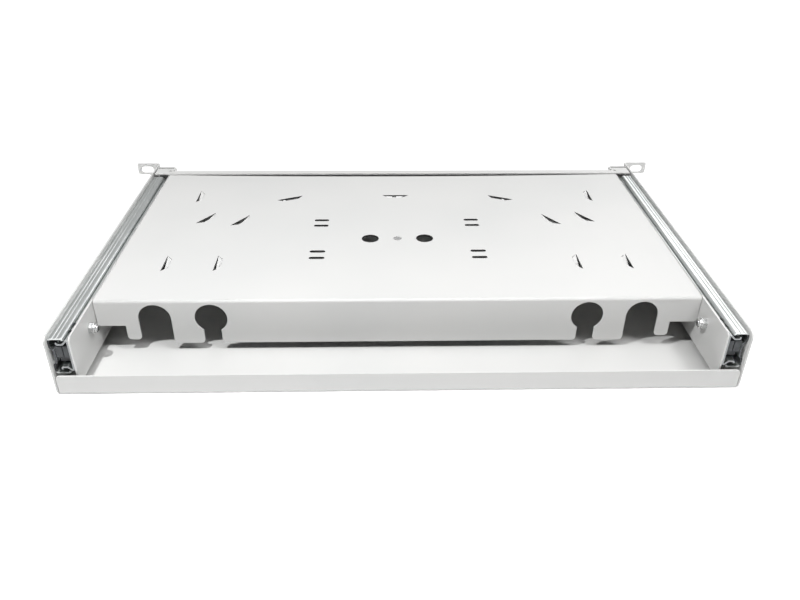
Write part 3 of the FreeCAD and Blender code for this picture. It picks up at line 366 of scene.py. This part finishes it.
def soften(node):
    """Welds the imported faces and rounds the sharp edges a little."""
    weld = node.modifiers.new("weld", "WELD")
    weld.merge_threshold = WELD_DISTANCE
    edge = node.modifiers.new("edge", "BEVEL")
    edge.width = EDGE_SOFTNESS
    edge.segments = EDGE_SEGMENTS
    edge.limit_method = "ANGLE"
    edge.angle_limit = SHARP_ANGLE
    edge.use_clamp_overlap = True
    edge.harden_normals = True


def place(name, data):
    """An object for a camera, a lamp or a mesh, put into the scene."""
    made = bpy.data.objects.new(name, data)
    bpy.context.scene.collection.objects.link(made)
    return made


def make_camera():
    data = bpy.data.cameras.new("camera")
    data.sensor_width = SENSOR_WIDTH
    data.lens = FOCAL_PIXELS * SENSOR_WIDTH / IMAGE_WIDTH
    data.clip_start = CLIP_NEAR
    data.clip_end = CLIP_FAR
    camera = place("camera", data)
    forward = Vector((math.sin(CAMERA_YAW) * math.cos(CAMERA_PITCH),
                      math.cos(CAMERA_YAW) * math.cos(CAMERA_PITCH), -math.sin(CAMERA_PITCH)))
    right = Vector((math.cos(CAMERA_YAW), -math.sin(CAMERA_YAW), 0))
    up = right.cross(forward)
    tilted_right = right * math.cos(CAMERA_ROLL) + up * math.sin(CAMERA_ROLL)
    tilted_up = up * math.cos(CAMERA_ROLL) - right * math.sin(CAMERA_ROLL)
    turn = Matrix((tilted_right, tilted_up, -forward)).transposed()
    camera.matrix_world = Matrix.Translation(CAMERA_SPOT) @ turn.to_4x4()
    bpy.context.scene.camera = camera


def area_light(name, spot, aim, size, power):
    data = bpy.data.lights.new(name, "AREA")
    data.shape = "RECTANGLE"
    data.size, data.size_y = size
    data.energy = power
    lamp = place(name, data)
    lamp.location = spot
    direction = Vector(aim) - Vector(spot)
    lamp.rotation_euler = direction.to_track_quat("-Z", "Y").to_euler()


def bulb(name, spot, radius, power):
    data = bpy.data.lights.new(name, "POINT")
    data.shadow_soft_size = radius
    data.energy = power
    place(name, data).location = spot


def make_lamps():
    """One small hard lamp for the shadows, and large soft ones that set the tone of each side."""
    bulb("near_left", spot=(-0.235, -0.30, 0.62), radius=0.012, power=13.4)
    area_light("near_right", spot=(0.5, -0.40, 0.9), aim=(0.1, 0, 0), size=(0.26, 0.26), power=4.0)
    area_light("above", spot=(0.15, -0.35, 1.2), aim=(0.05, 0, 0), size=(0.9, 0.4), power=5.4)
    area_light("over_right", spot=(0.9, 0.1, 1.4), aim=(0.05, 0, 0), size=(1.2, 1.2), power=6.4)
    area_light("front_low", spot=(0.0, -1.6, 0.55), aim=(0, 0, 0), size=(2.0, 0.6), power=2.0)
    area_light("far_side", spot=(0.0, 1.3, 1.3), aim=(0, 0, 0), size=(1.6, 0.8), power=0.8)
    area_light("far_right", spot=(0.8, 1.1, 0.8), aim=(0.1, 0, 0), size=(0.8, 0.5), power=3.2)


def seen_directly(tree):
    """1 for camera and transmission rays, a share for mirrored ones, 0 for light on surfaces."""
    path = add_node(tree, "ShaderNodeLightPath")
    seen = math_node(tree, "MAXIMUM", path.outputs["Is Camera Ray"],
                     path.outputs["Is Transmission Ray"])
    mirrored = math_node(tree, "MULTIPLY", path.outputs["Is Glossy Ray"], MIRRORED_SHARE)
    return math_node(tree, "MAXIMUM", seen, mirrored)


def make_world():
    world = bpy.data.worlds.new("studio")
    bpy.context.scene.world = world
    world.use_nodes = True
    tree = world.node_tree
    background = tree.nodes["Background"]
    background.inputs["Color"].default_value = (*WHITE, 1)
    put(tree, background.inputs["Strength"], spread(tree, seen_directly(tree), WORLD_LIGHT, 1.0))


def floor_material():
    """White that glows evenly, less so near the panel, where its shadow has to show."""
    material = bpy.data.materials.new("floor")
    material.use_nodes = True
    tree = material.node_tree
    tree.nodes.clear()
    output = tree.nodes.new("ShaderNodeOutputMaterial")
    diffuse = add_node(tree, "ShaderNodeBsdfDiffuse", Color=(*FLOOR_COLOUR, 1))
    away = add_node(tree, "ShaderNodeVectorMath", {"operation": "LENGTH"}, Vector=object_point(tree))
    shown = spread(tree, away.outputs["Value"], FLOOR_GLOW_NEAR, FLOOR_GLOW_FAR, GLOW_START, GLOW_END)
    strength = add_node(tree, "ShaderNodeMix", {"data_type": "FLOAT"}, Factor=seen_directly(tree),
                        A=FLOOR_LIGHT, B=shown)
    glow = add_node(tree, "ShaderNodeEmission", Color=(*WHITE, 1), Strength=strength.outputs["Result"])
    both = tree.nodes.new("ShaderNodeAddShader")
    put(tree, both.inputs[0], diffuse.outputs["BSDF"])
    put(tree, both.inputs[1], glow.outputs["Emission"])
    put(tree, output.inputs["Surface"], both.outputs["Shader"])
    return material


def make_floor():
    mesh = bpy.data.meshes.new("floor")
    corners = [(x * FLOOR_REACH, y * FLOOR_REACH, 0) for x, y in ((-1, -1), (1, -1), (1, 1), (-1, 1))]
    mesh.from_pydata(corners, [], [(0, 1, 2, 3)])
    mesh.materials.append(floor_material())
    floor = place("floor", mesh)


bpy.context.scene.view_settings.view_transform = "Standard"
make_camera()
make_world()
make_floor()
make_lamps()
dress()
for node in nodes.values():
    soften(node)
